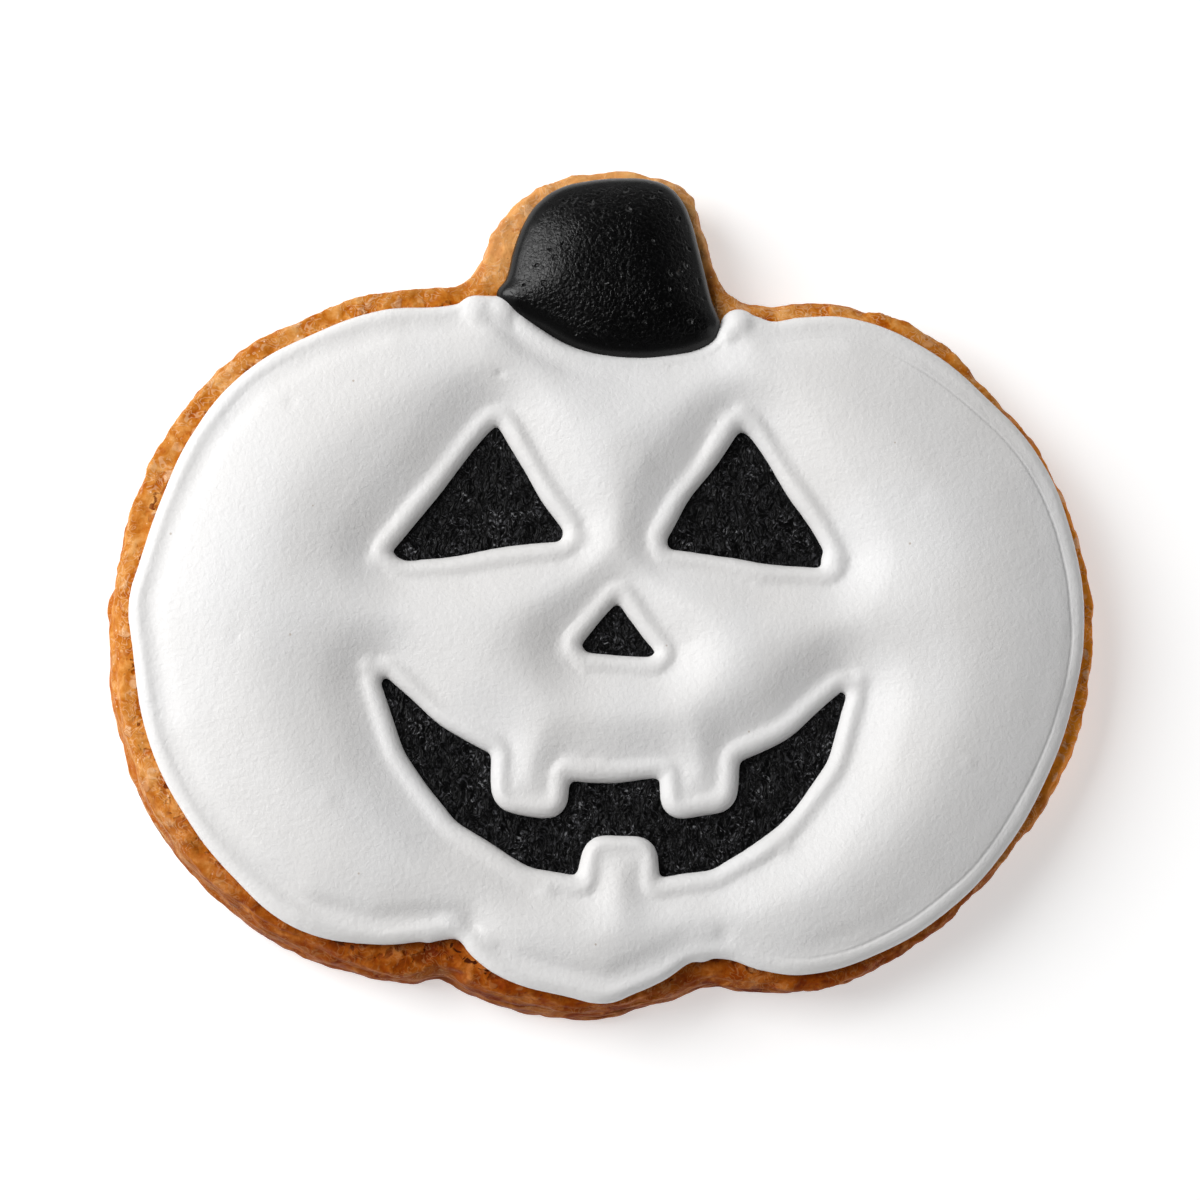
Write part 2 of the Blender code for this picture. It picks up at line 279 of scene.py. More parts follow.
class Wire:
    # a socket that can be added, multiplied and so on like a number
    def __init__(self, mixture, socket):
        self.mixture = mixture
        self.socket = socket

    def __add__(self, other):
        return self.mixture.maths("ADD", self, other)

    def __sub__(self, other):
        return self.mixture.maths("SUBTRACT", self, other)

    def __rsub__(self, other):
        return self.mixture.maths("SUBTRACT", other, self)

    def __mul__(self, other):
        return self.mixture.maths("MULTIPLY", self, other)

    __radd__ = __add__
    __rmul__ = __mul__


class Mixture:
    # the nodes of one material
    def __init__(self, name, **constants):
        self.material = bpy.data.materials.new(name)
        self.material.use_nodes = True
        self.tree = self.material.node_tree
        self.shader = self.tree.nodes["Principled BSDF"]
        self.place = self.node("TexCoord", output="Object")
        for key, value in constants.items():
            self.shader.inputs[key.replace("_", " ")].default_value = value

    def node(self, kind, settings=None, sockets=None, output=0):
        made = self.tree.nodes.new("ShaderNode" + kind)
        for key, value in (settings or {}).items():
            if key == "stops":
                stops = made.color_ramp.elements
                while len(stops) < len(value):
                    stops.new(1)
                for stop, (position, colour) in zip(stops, value):
                    stop.position = position
                    stop.color = (*colour, 1)
            else:
                setattr(made, key, value)
        for key, value in (sockets or {}).items():
            self.feed(made.inputs[key], value)
        return Wire(self, made.outputs[output])

    def feed(self, socket, value):
        if isinstance(value, Wire):
            self.tree.links.new(value.socket, socket)
        elif socket.type == "RGBA":
            socket.default_value = (*value, 1)
        else:
            socket.default_value = value

    def set(self, **links):
        for key, value in links.items():
            self.feed(self.shader.inputs[key.replace("_", " ")], value)

    def maths(self, operation, *values):
        return self.node("Math", {"operation": operation}, dict(enumerate(values)))

    def blend(self, share, first, second):
        return self.node("Mix", {"data_type": "RGBA"}, {0: share, 6: first, 7: second}, output=2)

    def axis(self, name):
        return self.node("SeparateXYZ", None, {0: self.place}, output=name)

    def noted(self, name):
        return self.node("Attribute", {"attribute_name": name}, output="Fac")

    def stretched(self, scale):
        return self.node("Mapping", None, {"Vector": self.place, "Scale": scale})

    def lumps(self, size, detail=2.0, roughness=0.5, distortion=0.0, place=None):
        # soft noise from 0 to 1 whose lumps are that many millimetres
        return self.node("TexNoise", None, {"Vector": place or self.place, "Scale": 1 / (size * mm),
                                            "Detail": detail, "Roughness": roughness,
                                            "Distortion": distortion})

    def cells(self, size, place=None):
        # how far it is to the middle of the cell, in cells of that many millimetres
        return self.node("TexVoronoi", None, {"Vector": place or self.place, "Scale": 1 / (size * mm)},
                         output="Distance")

    def step(self, value, low, high):
        # 0 below low, 1 above high, smooth between them
        return self.node("MapRange", {"interpolation_type": "SMOOTHSTEP"},
                         {"Value": value, "From Min": low, "From Max": high})

    def warped(self, size, reach):
        # the place, pushed about so that cells come out uneven; reach is in millimetres
        push = self.node("TexNoise", None, {"Vector": self.place, "Scale": 1 / (size * mm), "Detail": 1},
                         output="Color")
        centred = self.node("VectorMath", {"operation": "SUBTRACT"}, {0: push, 1: (0.5, 0.5, 0.5)})
        scaled = self.node("VectorMath", {"operation": "SCALE"}, {0: centred, "Scale": reach * mm})
        return self.node("VectorMath", {"operation": "ADD"}, {0: self.place, 1: scaled})

    def bump(self, height, depth, normal=None):
        # height from 0 to 1 stands for that many millimetres
        sockets = {"Height": height, "Distance": depth * mm, "Strength": 1.0}
        if normal:
            sockets["Normal"] = normal
        return self.node("Bump", None, sockets)


# biscuit: a slab of baked gingerbread with a flaky side and a crinkled rim

biscuit = {
    "outline": [
        (49.7, -4.5), (48.6, 5.2), (44.8, 13.9), (39.9, 20.7), (33.8, 26.2), (26.4, 29.2), (19.5, 29.8),
        (14.8, 29.5), (12.2, 30.5), (10.9, 33.5), (10.1, 37.3), (8.6, 41.0), (5.4, 42.7), (-0.8, 43.0),
        (-4.9, 42.1), (-8.6, 40.2), (-11.6, 37.0), (-13.4, 32.9), (-15.2, 30.9), (-18.2, 30.5),
        (-24.0, 29.9), (-31.3, 27.0), (-38.3, 22.6), (-43.6, 16.4), (-47.6, 8.8), (-49.6, 0.6),
        (-50.0, -8.0), (-48.4, -16.5), (-45.0, -24.3), (-39.6, -30.8), (-32.8, -35.9), (-25.2, -38.8),
        (-19.9, -39.9), (-16.3, -39.3), (-13.6, -40.9), (-7.4, -42.7), (-0.9, -43.1), (6.2, -41.6),
        (10.8, -39.9), (14.2, -40.5), (20.8, -40.3), (28.5, -37.4), (35.0, -32.6), (40.9, -26.5),
        (45.8, -19.5), (48.9, -11.4),
    ],
    "edgeRounding": 1.3,
    "lean": 0.021,  # share by which the top draws in at the lower left, so that the side shows
    "voxel": 0.27,
    "crumbLift": 0.12,  # how far crumbs stand above the top
    "hiddenInset": 7.0,  # further in than this the icing hides the top
    "foot": 0.05,  # the wavy underside is cut off there, and then lowered to the floor
    # pattern, size of its lumps, strength, where, level that stays in place, further settings
    "crumble": [
        ("CLOUDS", 6.0, 0.5, "all", 0.6, {"noise_depth": 1}),
        ("CLOUDS", 1.5, 1.0, "side", 0.57, {"noise_depth": 2, "stretch": (4.5, 4.5, 0.9)}),
        ("CLOUDS", 1.0, 0.4, "side", 0.5, {"noise_depth": 1, "stretch": (2.2, 2.2, 0.9)}),
        ("CLOUDS", 1.9, 0.35, "rim", 0.55, {"noise_depth": 2}),
        ("VORONOI", 1.5, 0.18, "rim", 0.4, {}),
    ],
    # from the hollows of the crumb to its peaks, in general and towards the lower edge, where it is darker
    # as painted shade and a deeper bake
    "crumb": [
        (0.36, (0.40, 0.085, 0.001)), (0.46, (0.53, 0.165, 0.012)), (0.54, (0.63, 0.245, 0.044)),
        (0.64, (0.76, 0.370, 0.115)),
    ],
    "shadedBakedCrumb": [
        (0.36, (0.17, 0.018, 0.001)), (0.46, (0.28, 0.048, 0.001)), (0.54, (0.36, 0.082, 0.004)),
        (0.64, (0.53, 0.165, 0.030)),
    ],
    # in general, towards the lower edge (painted shade and a deeper bake), and down the right side
    # (lightened as painted light)
    "sugar": [(0.88, 0.59, 0.35), (0.52, 0.24, 0.090), (1.0, 0.64, 0.40)],
    "smudge": [(0.42, 0.085, 0.001), (0.15, 0.020, 0.001), (0.62, 0.16, 0.004)],
    "crack": [(0.20, 0.035, 0.001), (0.070, 0.011, 0.001)],
    # painted light: the shaded right side is made lighter and more orange
    "rightPaintedLight": (1.0, 0.31, 0.015),
    "stemTint": (1.0, 0.57, 0.24),
    # pale sugar grains with painted glints
    "sugarGlints": (1.0, 0.82, 0.62),
    "relief": 0.32,
    "roughness": 0.5,
    "shine": 0.06,
}


def bakeBiscuit():
    bevel = biscuit["edgeRounding"]
    slab = plate("gingerbread", [drawLine("biscuitLine", biscuit["outline"])], 0.0, biscuitTop, bevel)
    finishModifier(slab, "REMESH", mode="VOXEL", voxel_size=biscuit["voxel"] * mm)
    points = places(slab) / mm
    inside = distanceTo([biscuit["outline"]], points * mm)
    height = points[:, 2]
    lowerLeft = between(-0.6 * points[:, 0] - 0.75 * points[:, 1], 14, 38)
    points[:, :2] *= 1 - (biscuit["lean"] * lowerLeft * between(height, 0.5, 7.5))[:, None]
    putPlaces(slab, points * mm)
    side = (1 - between(inside, 1.0, 2.2)) * between(height, 0.05, 0.5)
    rim = (1 - between(inside, 5.0, 6.5)) * between(height, 3.0, 5.0)
    weigh(slab, "side", side)
    weigh(slab, "rim", rim)
    weigh(slab, "all", np.maximum(side, rim))
    for pattern, size, strength, where, mid, settings in biscuit["crumble"]:
        roughen(slab, pattern, size, strength, where, mid=mid, **settings)
    points = places(slab)
    points[:, 2] = np.minimum(points[:, 2], (biscuitTop + biscuit["crumbLift"]) * mm)
    putPlaces(slab, points)
    hidden = (points[:, 2] > 4 * mm) & (distanceTo([biscuit["outline"]], points) > biscuit["hiddenInset"])
    points[hidden, 2] = biscuitTop * mm
    putPlaces(slab, points)
    fewerFaces(slab, hidden)
    sitFlat(slab, biscuit["foot"])
    points = places(slab)
    points[points[:, 2] < (biscuit["foot"] + hair) * mm, 2] = 0
    putPlaces(slab, points)
    note(slab, "inside", distanceTo([biscuit["outline"]], points))
    only(slab)
    bpy.ops.object.shade_smooth()
    return slab


def gingerbread():
    mix = Mixture("gingerbread", Roughness=biscuit["roughness"], Specular_IOR_Level=biscuit["shine"])
    across, along, height = mix.axis("X"), mix.axis("Y"), mix.axis("Z")
    coarse = mix.lumps(5.0, detail=3, roughness=0.6)
    crumb = mix.lumps(2.0, detail=4, roughness=0.55, distortion=0.6)
    fine = mix.lumps(0.5, detail=2, roughness=0.6)
    inner = mix.step(mix.noted("inside") + coarse * 1.6, 1.9, 3.4)
    side = 1 - mix.step(height, 4.5 * mm, 6 * mm)
    texture = crumb * 0.65 + coarse * 0.15 + fine * 0.2
    colour = mix.node("ValToRGB", {"stops": biscuit["crumb"]}, {"Fac": texture})
    darker = mix.node("ValToRGB", {"stops": biscuit["shadedBakedCrumb"]}, {"Fac": texture})
    smudges = mix.step(mix.lumps(1.3, detail=2, distortion=0.5), 0.53, 0.64)
    ripples = mix.maths("SINE", mix.lumps(1.1, detail=1, distortion=0.7) * 34)
    swirls = mix.step(ripples, 0.5, 0.95) * mix.step(mix.lumps(2.6, detail=2), 0.38, 0.52)
    sugar = 1 - mix.step(mix.cells(2.0, place=mix.warped(1.1, 0.9)), 0.28, 0.36)
    sugar = sugar * mix.step(mix.lumps(2.2, detail=1), 0.50, 0.56)
    pits = mix.step(mix.lumps(1.0, detail=2, distortion=0.6), 0.635, 0.685) * inner
    # pale sugar grains with painted glints on them
    sugarGlints = 1 - mix.step(mix.cells(1.2, place=mix.warped(0.6, 0.3)), 0.05, 0.11)
    layers = mix.lumps(1.9, detail=2, roughness=0.6, place=mix.stretched((0.16, 0.16, 1)))
    ledges = mix.step(mix.maths("SINE", layers * 28), 0.3, 0.95)
    # darker towards the lower edge: painted shade, and a deeper bake there too; sugar, smudges and cracks
    # get darker copies there
    bakedAndShaded = mix.step(coarse * (14 * mm) - along, 23 * mm, 44 * mm)
    # painted light: the shaded right side is lightened, with paler sugar and smudges and more pattern there
    right = mix.step(across, 38 * mm, 48 * mm) * (1 - bakedAndShaded)
    stem = mix.step(along, 29 * mm, 35 * mm)
    pale = mix.blend(right, mix.blend(bakedAndShaded, *biscuit["sugar"][:2]), biscuit["sugar"][2])
    dark = mix.blend(right, mix.blend(bakedAndShaded, *biscuit["smudge"][:2]), biscuit["smudge"][2])
    crack = mix.blend(bakedAndShaded, *biscuit["crack"])
    inner = inner + right * (1 - inner) * 0.8
    colour = mix.blend(right * 0.8, colour, biscuit["rightPaintedLight"])
    colour = mix.blend(stem * 0.35, colour, biscuit["stemTint"])
    colour = mix.blend(bakedAndShaded * 0.95, colour, darker)
    colour = mix.blend(smudges * (0.2 + 0.6 * inner), colour, dark)
    colour = mix.blend(sugar * (0.25 + 0.25 * inner), colour, pale)
    colour = mix.blend(swirls * (0.35 + 0.25 * sugar), colour, pale)
    colour = mix.blend(sugarGlints * 0.6 * (1 - bakedAndShaded), colour, biscuit["sugarGlints"])
    colour = mix.blend(pits, colour, crack)
    colour = mix.blend(side * (1 - mix.step(layers, 0.40, 0.50)) * 0.45, colour, dark)
    colour = mix.blend(side * ledges * 0.28, colour, pale)
    relief = crumb * 0.7 + fine * 0.2 + swirls * 0.04 + sugar * 0.12 - smudges * inner * 0.3 - pits * 0.3
    relief = relief * (1 - side) + (layers * 2.0 + ledges * 0.3 + fine * 0.2) * side
    mix.set(Base_Color=colour, Normal=mix.bump(relief, biscuit["relief"]))
    return mix.material


# white icing: a piped line round every edge, and a flood that domes up between the lines

whiteIcing = {
    "outline": [
        (48.4, -3.1), (47.2, 5.4), (44.2, 13.4), (38.7, 19.8), (32.3, 24.8), (24.9, 27.7), (19.6, 27.7),
        (16.6, 27.3), (14.4, 28.0), (12.6, 27.9), (11.2, 26.2), (9.6, 24.6), (6.2, 23.7), (1.1, 23.4),
        (-3.5, 24.2), (-7.0, 26.0), (-9.6, 28.3), (-12.1, 29.4), (-14.7, 28.6), (-17.4, 28.1),
        (-22.9, 27.6), (-29.9, 25.1), (-36.7, 21.0), (-41.7, 14.9), (-44.9, 7.6), (-46.7, 1.7),
        (-47.8, -2.4), (-47.4, -6.8), (-45.6, -16.2), (-42.0, -23.5), (-37.1, -29.6), (-31.0, -34.4),
        (-23.5, -36.2), (-17.2, -35.7), (-15.0, -35.6), (-13.4, -37.5), (-10.4, -39.5), (-4.2, -41.2),
        (-0.3, -41.9), (2.3, -41.0), (5.4, -39.6), (8.2, -37.8), (11.4, -37.4), (15.4, -38.6),
        (19.5, -38.9), (27.0, -36.8), (33.8, -32.6), (39.6, -26.7), (44.0, -19.5), (47.1, -11.6),
    ],
    "edgeLineRadius": 1.2,
    "openingLineRadius": 1.25,
    "openingWobble": 0.4,
    "lineHeight": 0.65,
    "lineUnevenness": 0.2,
    "floodInset": 1.1,
    "floodWobble": 0.7,
    "floodThickness": 1.58,
    "floodRise": 2.7,
    "floodReach": 12.5,
    "floodSoftening": 60,
    "openingDip": 0.34,  # how far the flood sinks towards the openings
    "rightFill": 0.2,  # how much thicker it is on the right, where it covers the edge line
    "valleyInset": 2.6,
    "valleyDepth": 0.28,
    "voxel": 0.3,
    "white": [(0.828, 0.816, 0.806), (0.85, 0.844, 0.842)],
    "speck": (0.45, 0.36, 0.28),
    "creaseDepth": 0.09,
    "waveDepth": 0.07,
    "pebbleDepth": 0.068,
    "roughness": 0.5,
    "shine": 0.35,
    # where the piping bag was set down or lifted: x, y, radius, flatness
    "blobs": [
        (13.2, 26.6, 1.9, 0.85), (12.3, 25.4, 1.6, 0.95), (-13.4, 27.0, 2.4, 0.70),
        (-11.2, 27.3, 2.1, 0.76), (-15.9, -34.0, 1.6, 0.86), (-17.9, -34.5, 1.5, 0.85),
        (-12.0, -35.6, 2.0, 0.62), (9.0, -35.9, 1.9, 0.64), (12.9, -36.0, 1.7, 0.72),
        (14.4, -36.7, 1.6, 0.74), (-11.3, 20.6, 1.7, 1.0), (13.6, 18.0, 1.6, 0.9),
        (12.3, 18.9, 1.1, 1.3), (0.8, 1.3, 1.2, 1.0), (-24.3, -8.5, 1.6, 0.9),
        (25.3, -9.3, 1.6, 0.88), (-23.9, 1.6, 1.6, 0.85), (-4.9, -7.6, 1.4, 0.9),
        (-6.2, -30.5, 1.5, 0.88), (17.4, -26.4, 1.5, 0.88), (22.9, 2.6, 1.5, 0.9),
        (-3.2, 4.4, 1.5, 0.88),
    ],
    # small bumps and dents in the flood: x, y, radius, height
    "marks": [
        (20.5, -13.8, 0.7, 0.10), (-32.0, 17.5, 0.6, -0.10), (31.0, 9.0, 1.0, -0.08),
        (-28.0, -22.0, 0.9, 0.07), (35.5, -18.0, 0.6, 0.09), (-37.0, -6.0, 0.8, -0.07),
        (3.0, 12.0, 1.2, 0.09), (8.0, -6.0, 0.8, -0.08), (-11.2, 20.9, 0.4, -0.2),
        (-13.8, -34.3, 0.9, -0.25), (11.2, -35.0, 0.9, -0.2), (11.4, 27.2, 0.6, -0.3),
    ],
}
openings = {
    "left_eye": {"radius": 2.2, "corners": [
        (-11.3, 18.0), (-23.4, 2.6), (-21.1, 0.6), (-4.0, 3.0), (-3.3, 5.2)]},
    "right_eye": {"radius": 2.2, "corners": [
        (12.6, 17.3), (4.2, 4.7), (5.1, 2.4), (21.9, 0.4), (23.9, 2.5), (14.9, 16.4)]},
    "nose": {"radius": 1.6, "corners": [
        (0.9, 0.1), (-4.4, -6.3), (-3.2, -8.3), (4.7, -8.7), (6.0, -6.8)]},
    "mouth": {"radius": 1.2, "corners": [
        (-24.2, -9.6), (-21.7, -17.8), (-15.8, -25.2), (-8.2, -29.6), (-2.0, -30.9), (-1.7, -26.6),
        (3.4, -26.4), (3.9, -31.0), (10.4, -29.9), (17.6, -25.6), (23.0, -18.4), (25.2, -10.4),
        (23.4, -9.2), (17.6, -14.2), (11.8, -16.9), (11.5, -21.8), (6.4, -22.4), (6.2, -18.2),
        (0.6, -18.9), (-5.0, -18.3), (-5.3, -22.6), (-10.4, -21.8), (-10.5, -16.7), (-16.2, -13.6),
        (-22.2, -8.3)]},
}
wobble = whiteIcing["openingWobble"]
for opening in openings.values():
    opening["knots"] = [(x + wobble * wander(x, y, 170), y + wobble * wander(x, y, 170, 1))
                        for x, y in roundedCorners(opening["corners"], opening["radius"])]


def pipeWhiteIcing():
    edge = movedIn(whiteIcing["outline"], whiteIcing["edgeLineRadius"])
    rings = [opening["knots"] for opening in openings.values()]
    height = icingSeat + whiteIcing["lineHeight"]
    top = icingSeat + whiteIcing["floodThickness"]
    uneven = whiteIcing["lineUnevenness"]
    shore = movedIn(whiteIcing["outline"], whiteIcing["floodInset"], whiteIcing["floodWobble"])
    flood = plate("flood", [drawLine("shore", shore)] + [drawLine("ring", ring, steps=4) for ring in rings],
                  biscuitTop - spare, top)
    finishModifier(flood, "REMESH", mode="VOXEL", voxel_size=whiteIcing["voxel"] * mm)
    shoulder = top - 0.3
    dome(flood, [edge, *rings], shoulder, whiteIcing["floodRise"], whiteIcing["floodReach"],
         whiteIcing["floodSoftening"])
    points = places(flood)
    dip = 1 - between(distanceTo(rings, points), 1.0, 5.5)
    fuller = between(points[:, 0] / mm, 6, 24)
    sunk = whiteIcing["openingDip"] * dip - whiteIcing["rightFill"] * fuller * (1 - dip)
    valley = distanceTo([movedIn(whiteIcing["outline"], whiteIcing["valleyInset"])], points)
    for index in np.flatnonzero(valley < 2.5):  # it also sinks along the edge line, more in some places
        x, y = points[index, :2] / mm
        depth = max(0.0, 0.55 + 1.5 * wander(x, y, 50, 7)) * (1 - between(x, 18, 36))
        depth += 1.0 * between(-y, 18, 30) * (1 - between(x, -4, 14))
        sunk[index] += whiteIcing["valleyDepth"] * depth * math.exp(-1.4 * valley[index] ** 2)
    points[:, 2] -= sunk * mm * (points[:, 2] > shoulder * mm)
    putPlaces(flood, points)
    pieces = [flood, pipedLine("edgeLine", edge, whiteIcing["edgeLineRadius"], height, uneven)]
    pieces += [pipedLine("ringLine", ring, whiteIcing["openingLineRadius"], height, uneven, steps=4)
               for ring in rings]
    for x, y, radius, flatness in whiteIcing["blobs"]:
        bpy.ops.mesh.primitive_uv_sphere_add(segments=32, ring_count=16, radius=radius * mm,
                                             location=(x * mm, y * mm, height * mm), scale=(1, 1, flatness))
        pieces.append(bpy.context.object)
    icing = joined("whiteIcing", pieces)
    finishModifier(icing, "REMESH", mode="VOXEL", voxel_size=whiteIcing["voxel"] * mm)
    finishModifier(icing, "SMOOTH", factor=0.5, iterations=4)
    points = places(icing)
    nearLine = distanceTo([edge, *rings], points)  # the creases beside the lines are softened further
    selectPoints(icing, (nearLine > 0.4) & (nearLine < 2.4) & (points[:, 2] > (icingSeat + 1) * mm))
    bpy.ops.mesh.vertices_smooth(factor=0.5, repeat=8)
    bpy.ops.object.mode_set(mode="OBJECT")
    points = places(icing)
    for x, y, radius, rise in whiteIcing["marks"]:
        away = np.hypot(points[:, 0] / mm - x, points[:, 1] / mm - y) / radius
        points[:, 2] += rise * mm * np.exp(-away ** 2) * (points[:, 2] > (biscuitTop + 1) * mm)
    putPlaces(icing, points)
    sitFlat(icing, icingFoot)
    note(icing, "inside", distanceTo([followed(whiteIcing["outline"])], places(icing)))
    only(icing)
    bpy.ops.object.shade_smooth()
    return icing


def driedWhiteIcing():
    mix = Mixture("white icing", Roughness=whiteIcing["roughness"], Specular_IOR_Level=whiteIcing["shine"])
    pebbles = mix.lumps(0.5, detail=3, roughness=0.55, distortion=0.4)
    waves = mix.lumps(3.2, detail=2)
    patches = mix.lumps(14.0, detail=3)
    specks = 1 - mix.step(mix.cells(5.2), 0.018, 0.03)
    colour = mix.blend(mix.step(patches, 0.35, 0.7), *whiteIcing["white"])
    colour = mix.blend(specks * 0.6, colour, whiteIcing["speck"])
    # the fine crease where the flood meets the edge line
    low = 1 - mix.step(mix.axis("Y"), 4 * mm, 20 * mm)
    past = mix.noted("inside") - whiteIcing["valleyInset"] + low * 1.1 + (0.5 - mix.lumps(14.0)) * 1.2
    crease = (mix.step(past, -0.12, 0.40) - mix.step(past, 0.6, 2.5)) * 0.4
    crease = crease - (1 - mix.step(mix.maths("ABSOLUTE", past), 0.02, 0.26)) * 0.45
    crease = crease * mix.step(mix.lumps(19.0), 0.30, 0.52) * mix.step(mix.axis("X"), 12 * mm, 28 * mm)
    normal = mix.bump(waves, whiteIcing["waveDepth"], mix.bump(pebbles, whiteIcing["pebbleDepth"]))
    mix.set(Base_Color=colour, Normal=mix.bump(crease, whiteIcing["creaseDepth"], normal))
    return mix.material


# black icing: a thin rough field in each opening, and a smooth pillow on the stem

blackField = {
    "top": 7.95,
    "voxel": 0.2,
    # size of the lumps, strength, how the pattern is stretched
    "grain": [(1.6, 0.3, None), (0.7, 0.16, (0.6, 1.6, 1))],
    "black": (0.0008, 0.0008, 0.0009),
    # painted light: the folds lighter, as where light catches them, and bright painted glints on them
    "foldSheen": (0.065, 0.065, 0.071),
    "paintedGlint": (0.30, 0.303, 0.31),
    "relief": 0.5,
    "roughness": 0.4,
    "shine": 0.12,
}
stemIcing = {
    "outline": [
        (11.3, 26.9), (10.5, 29.2), (9.8, 32.0), (9.1, 34.9), (8.4, 37.5), (7.5, 39.6), (6.1, 41.1),
        (4.1, 41.8), (1.3, 41.9), (-2.3, 41.5), (-5.1, 40.7), (-7.3, 39.1), (-8.7, 37.0), (-9.8, 34.1),
        (-10.5, 31.2), (-11.5, 29.4), (-10.4, 27.7), (-6.7, 25.6), (-3.3, 23.8), (1.1, 23.0), (6.1, 23.3),
        (9.4, 24.3), (10.9, 25.3),
    ],
    "thickness": 1.6,
    "rounding": 0.8,
    "rise": 2.3,
    "reach": 7.0,
    "softening": 60,
    "voxel": 0.22,
    "black": (0.0006, 0.0006, 0.0007),
    "dust": (0.05, 0.05, 0.054),
    "peelDepth": 0.11,
    "waveDepth": 0.08,
    "shine": 0.3,
}


def fillOpening(name, opening):
    field = plate(name + "Field", [drawLine("ring", opening["knots"], steps=4)], biscuitTop - spare,
                  blackField["top"])
    finishModifier(field, "REMESH", mode="VOXEL", voxel_size=blackField["voxel"] * mm)
    weigh(field, "top", between(places(field)[:, 2] / mm, 7.4, 7.8))
    for size, strength, stretch in blackField["grain"]:
        roughen(field, "CLOUDS", size, strength, "top", stretch, direction="Z", noise_depth=2)
    sitFlat(field, icingFoot)
    only(field)
    bpy.ops.object.shade_smooth()
    return field


def coverStem():
    cap = plate("stemIcing", [drawLine("stemLine", stemIcing["outline"])], icingFoot - spare,
                icingSeat + stemIcing["thickness"], stemIcing["rounding"])
    finishModifier(cap, "REMESH", mode="VOXEL", voxel_size=stemIcing["voxel"] * mm)
    dome(cap, [stemIcing["outline"]], icingSeat + 0.5 * stemIcing["thickness"], stemIcing["rise"],
         stemIcing["reach"], stemIcing["softening"])
    finishModifier(cap, "SMOOTH", factor=0.5, iterations=3)
    sitFlat(cap, icingFoot)
    note(cap, "inside", distanceTo([stemIcing["outline"]], places(cap)))
    only(cap)
    bpy.ops.object.shade_smooth()
    return cap


def roughBlackIcing():
    mix = Mixture("rough black icing", Roughness=blackField["roughness"],
                  Specular_IOR_Level=blackField["shine"])
    crumple = mix.lumps(1.1, detail=2, roughness=0.5, distortion=1.6, place=mix.stretched((1.2, 0.8, 1)))
    folds = mix.step(mix.maths("SINE", crumple * 28), 0.3, 0.95)
    fine = mix.lumps(0.35, detail=1)
    patch = mix.step(mix.lumps(2.2, detail=3, roughness=0.6), 0.36, 0.64)
    # painted sheen on the folds and painted glints on them
    paintedGlints = mix.step(fine * 0.8 + patch * 0.2, 0.63, 0.74) * folds
    colour = mix.blend(folds * mix.step(fine, 0.35, 0.6) * (0.25 + 0.75 * patch), blackField["black"],
                       blackField["foldSheen"])
    colour = mix.blend(paintedGlints * 0.6, colour, blackField["paintedGlint"])
    mix.set(Base_Color=colour, Normal=mix.bump(crumple * 1.2 + folds * 0.15, blackField["relief"]))
    return mix.material


def satinBlackIcing():
    mix = Mixture("satin black icing", Specular_IOR_Level=stemIcing["shine"])
    peel = mix.lumps(0.36, detail=2, roughness=0.6, distortion=0.8)
    waves = mix.lumps(4.0, detail=2)
    pits = 1 - mix.step(mix.cells(1.5, place=mix.warped(1.5, 1.2)), 0.10, 0.22)
    dust = 1 - mix.step(mix.cells(0.9), 0.05, 0.09)
    inside = mix.step(mix.noted("inside"), 0.8, 1.9)
    colour = mix.blend(dust * 0.5, stemIcing["black"], stemIcing["dust"])
    relief = (peel * 0.9 - pits * 1.5) * (0.1 + 0.9 * inside)
    mix.set(Base_Color=colour, Roughness=0.24 + peel * 0.08,
            Normal=mix.bump(relief, stemIcing["peelDepth"], mix.bump(waves, stemIcing["waveDepth"])))
    return mix.material


# putting the cookie together

slab = bakeBiscuit()
print("cookie: biscuit", len(slab.data.polygons))
icing = pipeWhiteIcing()
print("cookie: white icing", len(icing.data.polygons))
stemCap = coverStem()
fields = {name: fillOpening(name, opening) for name, opening in openings.items()}
print("cookie: black icing", len(stemCap.data.polygons), [len(f.data.polygons) for f in fields.values()])

fieldFinish = roughBlackIcing()
finishes = [(slab, "biscuit", "gingerbread", gingerbread()),
            (icing, "white_icing", "white icing", driedWhiteIcing()),
            (stemCap, "stem_icing", "black icing", satinBlackIcing())]
finishes += [(field, name, "black icing", fieldFinish) for name, field in fields.items()]
for piece, node, slot, finish in finishes:
    piece.data.materials.clear()
    piece.data.materials.append(finish)
    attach(piece, "root")
    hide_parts(node)
print("cookie: materials")


# floor, light and camera

studio = {
    # in metres, like the lights
    "floorSize": 6.0,
    "floorGap": 0.0001,
    "floorGrey": 0.7,
    "floorGlow": 0.52,
    "lights": [
        # name, from which way round, how high, how far, how wide, how bright
        ("window", 160, 43, 0.72, 0.5, 6.0),
        ("fill", -18, 14, 0.8, 0.5, 0.7),
    ],
    # how bright the room is from the horizon up to right overhead
    "room": [(0.0, 0.45), (0.2, 0.43), (0.35, 0.31), (0.65, 0.05), (1.0, 0.01)],
}
view = {
    # in millimetres and degrees
    "target": (-0.6, -0.65, 4),
    "distance": 338,
    "azimuth": -30,
    "elevation": 80,
    "lens": 100,
    "shift": -4 / 1200,  # four of the picture's 1200 rows
}


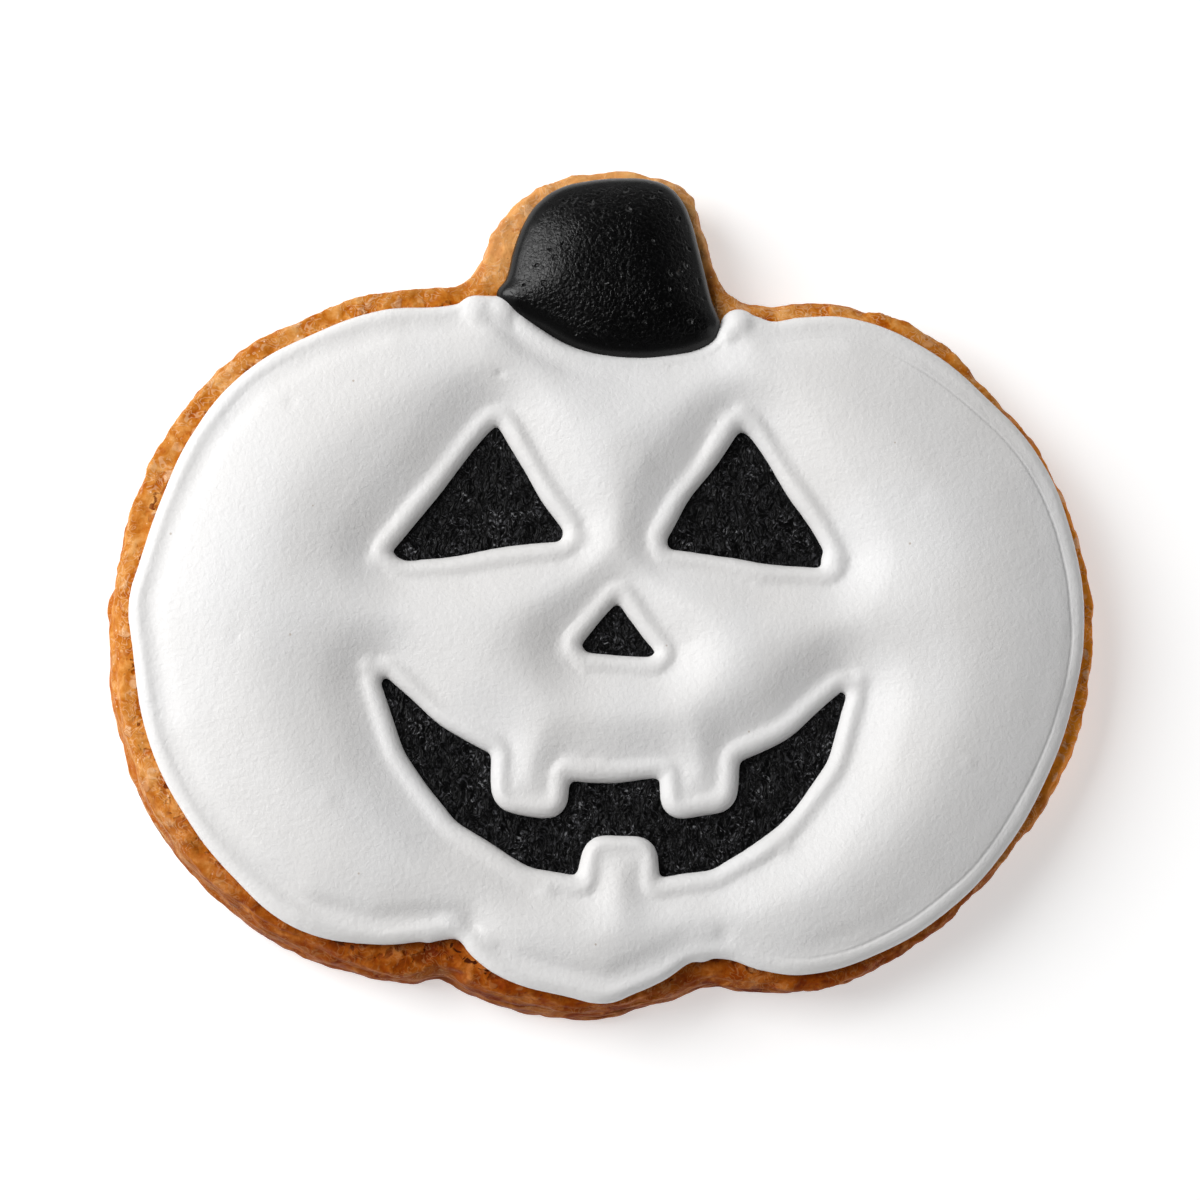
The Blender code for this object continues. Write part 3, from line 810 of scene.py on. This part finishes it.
def direction(azimuth, elevation):
    # unit vector; azimuth 0 looks from +X, 90 from +Y
    turn, lift = math.radians(azimuth), math.radians(elevation)
    return Vector((math.cos(turn) * math.cos(lift), math.sin(turn) * math.cos(lift), math.sin(lift)))


bpy.ops.mesh.primitive_plane_add(size=studio["floorSize"], location=(0, 0, -studio["floorGap"]))
floor = bpy.context.object
floor.name = "floor"
paper = Mixture("floor", Base_Color=(*[studio["floorGrey"]] * 3, 1), Roughness=0.9, Specular_IOR_Level=0.0,
                Emission_Color=(1, 1, 1, 1), Emission_Strength=studio["floorGlow"])
floor.data.materials.append(paper.material)

for name, azimuth, elevation, distance, width, brightness in studio["lights"]:
    away = direction(azimuth, elevation)
    bpy.ops.object.light_add(type="AREA", location=away * distance)
    lamp = bpy.context.object
    lamp.name = name
    lamp.rotation_euler = away.to_track_quat("Z", "Y").to_euler()
    lamp.data.size = width
    lamp.data.energy = brightness

room = bpy.data.worlds.new("studio")
room.use_nodes = True
roomNodes = room.node_tree.nodes
height = roomNodes.new("ShaderNodeSeparateXYZ")
shade = roomNodes.new("ShaderNodeValToRGB")
while len(shade.color_ramp.elements) < len(studio["room"]):
    shade.color_ramp.elements.new(1)
for stop, (position, brightness) in zip(shade.color_ramp.elements, studio["room"]):
    stop.position = position
    stop.color = (brightness, brightness, brightness, 1)
around = roomNodes.new("ShaderNodeTexCoord")
room.node_tree.links.new(around.outputs["Generated"], height.inputs[0])
room.node_tree.links.new(height.outputs["Z"], shade.inputs["Fac"])
room.node_tree.links.new(shade.outputs["Color"], roomNodes["Background"].inputs["Color"])
bpy.context.scene.world = room
bpy.context.scene.view_settings.view_transform = "Standard"

back = direction(view["azimuth"] - 90, view["elevation"])
right = (-back).cross(Vector((0, 1, 0))).normalized()
up = right.cross(-back)
bpy.ops.object.camera_add()
camera = bpy.context.object
turned = Matrix((right, up, back)).transposed().to_4x4()
camera.matrix_world = Matrix.Translation((Vector(view["target"]) + back * view["distance"]) * mm) @ turned
camera.data.lens = view["lens"]
camera.data.sensor_width = 36
camera.data.shift_y = view["shift"]
camera.data.clip_start = 0.01
bpy.context.scene.camera = camera
print("cookie: studio")
